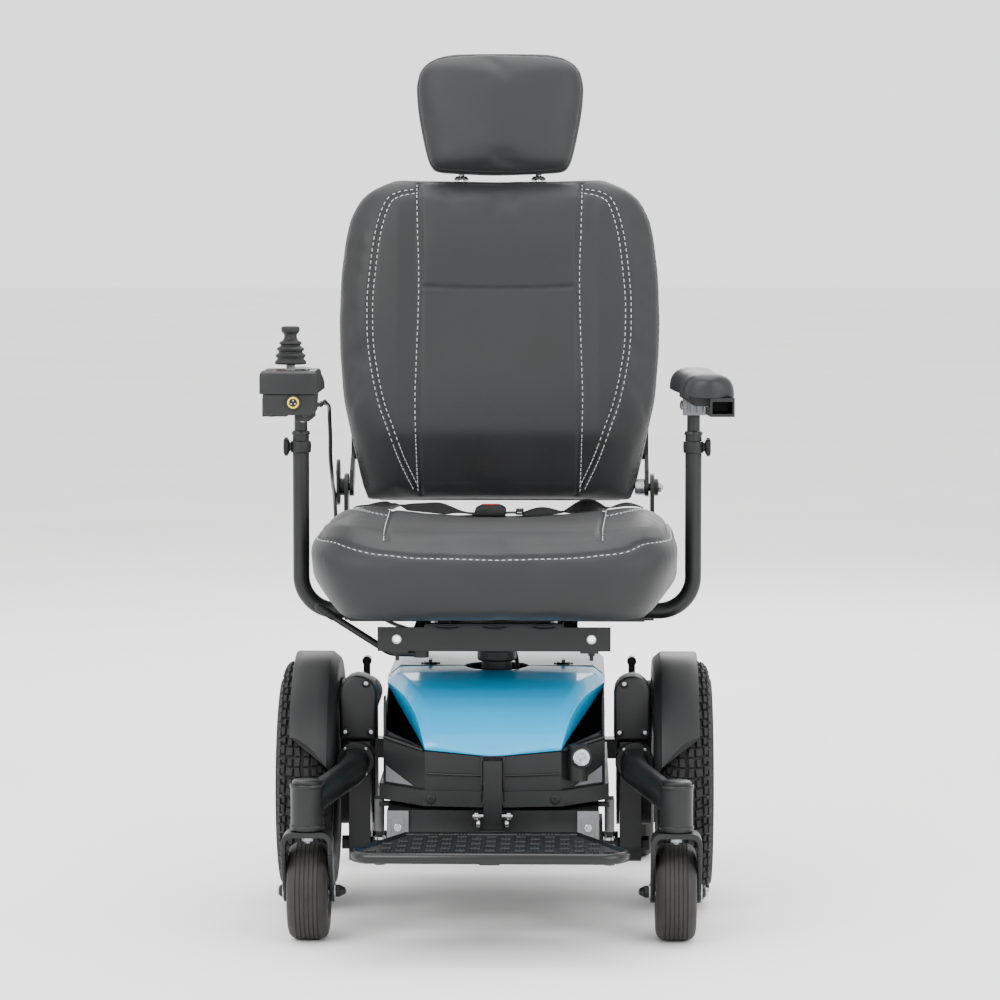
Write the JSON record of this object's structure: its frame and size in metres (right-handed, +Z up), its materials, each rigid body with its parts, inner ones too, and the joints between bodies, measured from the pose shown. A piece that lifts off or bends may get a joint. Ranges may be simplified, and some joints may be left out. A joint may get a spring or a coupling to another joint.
{
  "type": "power wheelchair",
  "caption": "Mid-wheel-drive power wheelchair with high-back captain seat, headrest, flip-up arms and footplate, joystick controller and rocker suspension.",
  "frame": {"origin": "on the floor under the drive axle, midway between the wheels", "axes": "+Z up, -Y the way the chair faces, +X the sitter's left"},
  "size_m": [0.6575, 0.9508, 1.2428],
  "materials": {
    "frame": "satin powder coat",
    "black_steel": "satin black powder coat",
    "black_moulding": "fine moulded grain",
    "blue_shell": "painted gloss",
    "battery_case": "moulded",
    "cast_housing": "painted casting",
    "tyre": "moulded rubber",
    "rim": "moulded spokes",
    "leather": "charcoal grain with grey stitching",
    "pad_skin": "self-skinned foam",
    "chrome": "plated",
    "webbing": "woven webbing",
    "control_rubber": "moulded",
    "gimbal_plastic": "moulded",
    "lever_plastic": "moulded",
    "cable": "cable sheath"
  },
  "bodies": {
    "chassis": {"main_frame": "frame", "batteries": "battery_case", "power_module": "black_moulding", "lower_cover": "black_moulding", "front_shroud": "blue_shell", "rear_shroud": "blue_shell", "suspension_struts": "frame", "footplate_bracket": "black_steel"},
    "footplate": {"footplate": "black_moulding"},
    "rear_beam": {"rear_beam": "frame"},
    "seat": {"seat_post": "black_steel", "seat_frame": "black_steel", "seat_cushion": "leather", "lap_belt": "webbing", "seat_cable": "cable"},
    "swivel_lever": {"swivel_lever": "black_steel"},
    "back": {"backrest": "leather", "back_frame": "black_steel"},
    "headrest": {"headrest": "leather", "headrest_posts": "chrome"},
    "joystick_gimbal": {"joystick_gimbal": "gimbal_plastic"},
    "joystick": {"joystick": "control_rubber", "joystick_pivot": "gimbal_plastic"},
    "power_button": {"power_button": "control_rubber"},
    "left_shroud_knob": {"left_shroud_knob": "black_moulding"},
    "left_rear_fork": {"left_rear_fork": "black_steel"},
    "left_rear_wheel": {"left_rear_wheel": "tyre"},
    "left_rocker": {"left_rocker_arm": "black_steel", "left_fender": "black_moulding", "left_gearbox": "cast_housing", "left_motor": "black_moulding"},
    "left_release_lever": {"left_release_lever": "lever_plastic"},
    "left_drive_wheel": {"left_drive_rim": "rim", "left_drive_tyre": "tyre"},
    "left_front_fork": {"left_front_fork": "black_steel"},
    "left_front_wheel": {"left_front_wheel": "tyre"},
    "left_arm_tube": {"left_arm_tube": "black_steel"},
    "left_arm_knob": {"left_arm_knob": "black_moulding"},
    "left_arm_post": {"left_arm_post": "black_steel"},
    "left_arm_pad": {"left_pad_base": "black_moulding", "left_arm_pad": "pad_skin"},
    "right_shroud_knob": {"right_shroud_knob": "black_moulding"},
    "right_rear_fork": {"right_rear_fork": "black_steel"},
    "right_rear_wheel": {"right_rear_wheel": "tyre"},
    "right_rocker": {"right_rocker_arm": "black_steel", "right_fender": "black_moulding", "right_gearbox": "cast_housing", "right_motor": "black_moulding"},
    "right_release_lever": {"right_release_lever": "lever_plastic"},
    "right_drive_wheel": {"right_drive_rim": "rim", "right_drive_tyre": "tyre"},
    "right_front_fork": {"right_front_fork": "black_steel"},
    "right_front_wheel": {"right_front_wheel": "tyre"},
    "right_arm_tube": {"right_arm_tube": "black_steel"},
    "right_arm_knob": {"right_arm_knob": "black_moulding"},
    "right_arm_post": {"right_arm_post": "black_steel"},
    "right_arm_pad": {"right_pad_base": "black_moulding", "right_arm_pad": "pad_skin", "controller_case": "black_moulding", "controller_cable": "cable"}
  },
  "joints": [
    {"name": "footplate_fold", "type": "hinge", "parent": "chassis", "child": "footplate", "pos_m": [0, -0.29, 0.14], "axis": [-1, 0, 0], "range_deg": [0, 85]},
    {"name": "rear_beam_roll", "type": "hinge", "parent": "chassis", "child": "rear_beam", "pos_m": [0, 0.36571, 0.175], "axis": [0, 1, 0], "range_deg": [-5, 5]},
    {"name": "seat_swivel", "type": "hinge", "parent": "chassis", "child": "seat", "pos_m": [0, 0.02, 0.386], "axis": [0, 0, 1], "range_deg": [-90, 90]},
    {"name": "swivel_lever_pull", "type": "hinge", "parent": "seat", "child": "swivel_lever", "pos_m": [-0.104, -0.128, 0.38], "axis": [0, 0, 1], "range_deg": [-20, 0]},
    {"name": "back_recline", "type": "hinge", "parent": "seat", "child": "back", "pos_m": [0, 0.211, 0.59], "axis": [1, 0, 0], "range_deg": [-30, 50]},
    {"name": "headrest_height", "type": "slide", "parent": "back", "child": "headrest", "axis": [0, 0.1392, 0.9903], "range_m": [0, 0.06]},
    {"name": "joystick_fore_aft", "type": "hinge", "parent": "right_arm_pad", "child": "joystick_gimbal", "pos_m": [-0.272, -0.345, 0.775], "axis": [1, 0, 0], "range_deg": [-14, 14], "stiffness_Nm_per_rad": 0.6},
    {"name": "joystick_side", "type": "hinge", "parent": "joystick_gimbal", "child": "joystick", "pos_m": [-0.272, -0.345, 0.775], "axis": [0, 1, 0], "range_deg": [-14, 14], "stiffness_Nm_per_rad": 0.6},
    {"name": "power_button_press", "type": "slide", "parent": "right_arm_pad", "child": "power_button", "axis": [0, 0, 1], "range_m": [-0.002, 0], "stiffness_N_per_m": 400},
    {"name": "left_shroud_knob_turn", "type": "hinge", "parent": "chassis", "child": "left_shroud_knob", "pos_m": [0.097, 0.041, 0.34], "axis": [0, 0, 1], "continuous": true},
    {"name": "left_rear_swivel", "type": "hinge", "parent": "rear_beam", "child": "left_rear_fork", "pos_m": [0.217, 0.36571, 0.18], "axis": [0, 0, 1], "continuous": true},
    {"name": "left_rear_spin", "type": "hinge", "parent": "left_rear_fork", "child": "left_rear_wheel", "pos_m": [0.217, 0.4037, 0.067], "axis": [1, 0, 0], "continuous": true},
    {"name": "left_rocker_pivot", "type": "hinge", "parent": "chassis", "child": "left_rocker", "pos_m": [0.193, -0.08, 0.1], "axis": [1, 0, 0], "range_deg": [-5, 5]},
    {"name": "left_freewheel", "type": "hinge", "parent": "left_rocker", "child": "left_release_lever", "pos_m": [0.199, 0.205, 0.284], "axis": [0, 1, 0], "range_deg": [0, 40]},
    {"name": "left_drive_spin", "type": "hinge", "parent": "left_rocker", "child": "left_drive_wheel", "pos_m": [0.2715, 0, 0.178], "axis": [1, 0, 0], "continuous": true},
    {"name": "left_front_swivel", "type": "hinge", "parent": "left_rocker", "child": "left_front_fork", "pos_m": [0.253, -0.32967, 0.18], "axis": [0, 0, 1], "continuous": true},
    {"name": "left_front_spin", "type": "hinge", "parent": "left_front_fork", "child": "left_front_wheel", "pos_m": [0.253, -0.29167, 0.067], "axis": [1, 0, 0], "continuous": true},
    {"name": "left_arm_width", "type": "slide", "parent": "seat", "child": "left_arm_tube", "axis": [1, 0, 0], "range_m": [0, 0.025]},
    {"name": "left_arm_knob_turn", "type": "hinge", "parent": "left_arm_tube", "child": "left_arm_knob", "pos_m": [0.305, 0.04, 0.661], "axis": [1, 0, 0], "continuous": true},
    {"name": "left_arm_height", "type": "slide", "parent": "left_arm_tube", "child": "left_arm_post", "axis": [0, 0, 1], "range_m": [0, 0.06]},
    {"name": "left_arm_flip", "type": "hinge", "parent": "left_arm_post", "child": "left_arm_pad", "pos_m": [0.2855, 0.04, 0.722], "axis": [-1, 0, 0], "range_deg": [0, 95]},
    {"name": "right_shroud_knob_turn", "type": "hinge", "parent": "chassis", "child": "right_shroud_knob", "pos_m": [-0.097, 0.041, 0.34], "axis": [0, 0, 1], "continuous": true},
    {"name": "right_rear_swivel", "type": "hinge", "parent": "rear_beam", "child": "right_rear_fork", "pos_m": [-0.217, 0.36571, 0.18], "axis": [0, 0, 1], "continuous": true},
    {"name": "right_rear_spin", "type": "hinge", "parent": "right_rear_fork", "child": "right_rear_wheel", "pos_m": [-0.217, 0.4037, 0.067], "axis": [1, 0, 0], "continuous": true},
    {"name": "right_rocker_pivot", "type": "hinge", "parent": "chassis", "child": "right_rocker", "pos_m": [-0.193, -0.08, 0.1], "axis": [1, 0, 0], "range_deg": [-5, 5]},
    {"name": "right_freewheel", "type": "hinge", "parent": "right_rocker", "child": "right_release_lever", "pos_m": [-0.199, 0.205, 0.284], "axis": [0, -1, 0], "range_deg": [0, 40]},
    {"name": "right_drive_spin", "type": "hinge", "parent": "right_rocker", "child": "right_drive_wheel", "pos_m": [-0.2715, 0, 0.178], "axis": [1, 0, 0], "continuous": true},
    {"name": "right_front_swivel", "type": "hinge", "parent": "right_rocker", "child": "right_front_fork", "pos_m": [-0.253, -0.32967, 0.18], "axis": [0, 0, 1], "continuous": true},
    {"name": "right_front_spin", "type": "hinge", "parent": "right_front_fork", "child": "right_front_wheel", "pos_m": [-0.253, -0.29167, 0.067], "axis": [1, 0, 0], "continuous": true},
    {"name": "right_arm_width", "type": "slide", "parent": "seat", "child": "right_arm_tube", "axis": [-1, 0, 0], "range_m": [0, 0.025]},
    {"name": "right_arm_knob_turn", "type": "hinge", "parent": "right_arm_tube", "child": "right_arm_knob", "pos_m": [-0.305, 0.04, 0.661], "axis": [1, 0, 0], "continuous": true},
    {"name": "right_arm_height", "type": "slide", "parent": "right_arm_tube", "child": "right_arm_post", "axis": [0, 0, 1], "range_m": [0, 0.06]},
    {"name": "right_arm_flip", "type": "hinge", "parent": "right_arm_post", "child": "right_arm_pad", "pos_m": [-0.2855, 0.04, 0.722], "axis": [-1, 0, 0], "range_deg": [0, 95]}
  ]
}
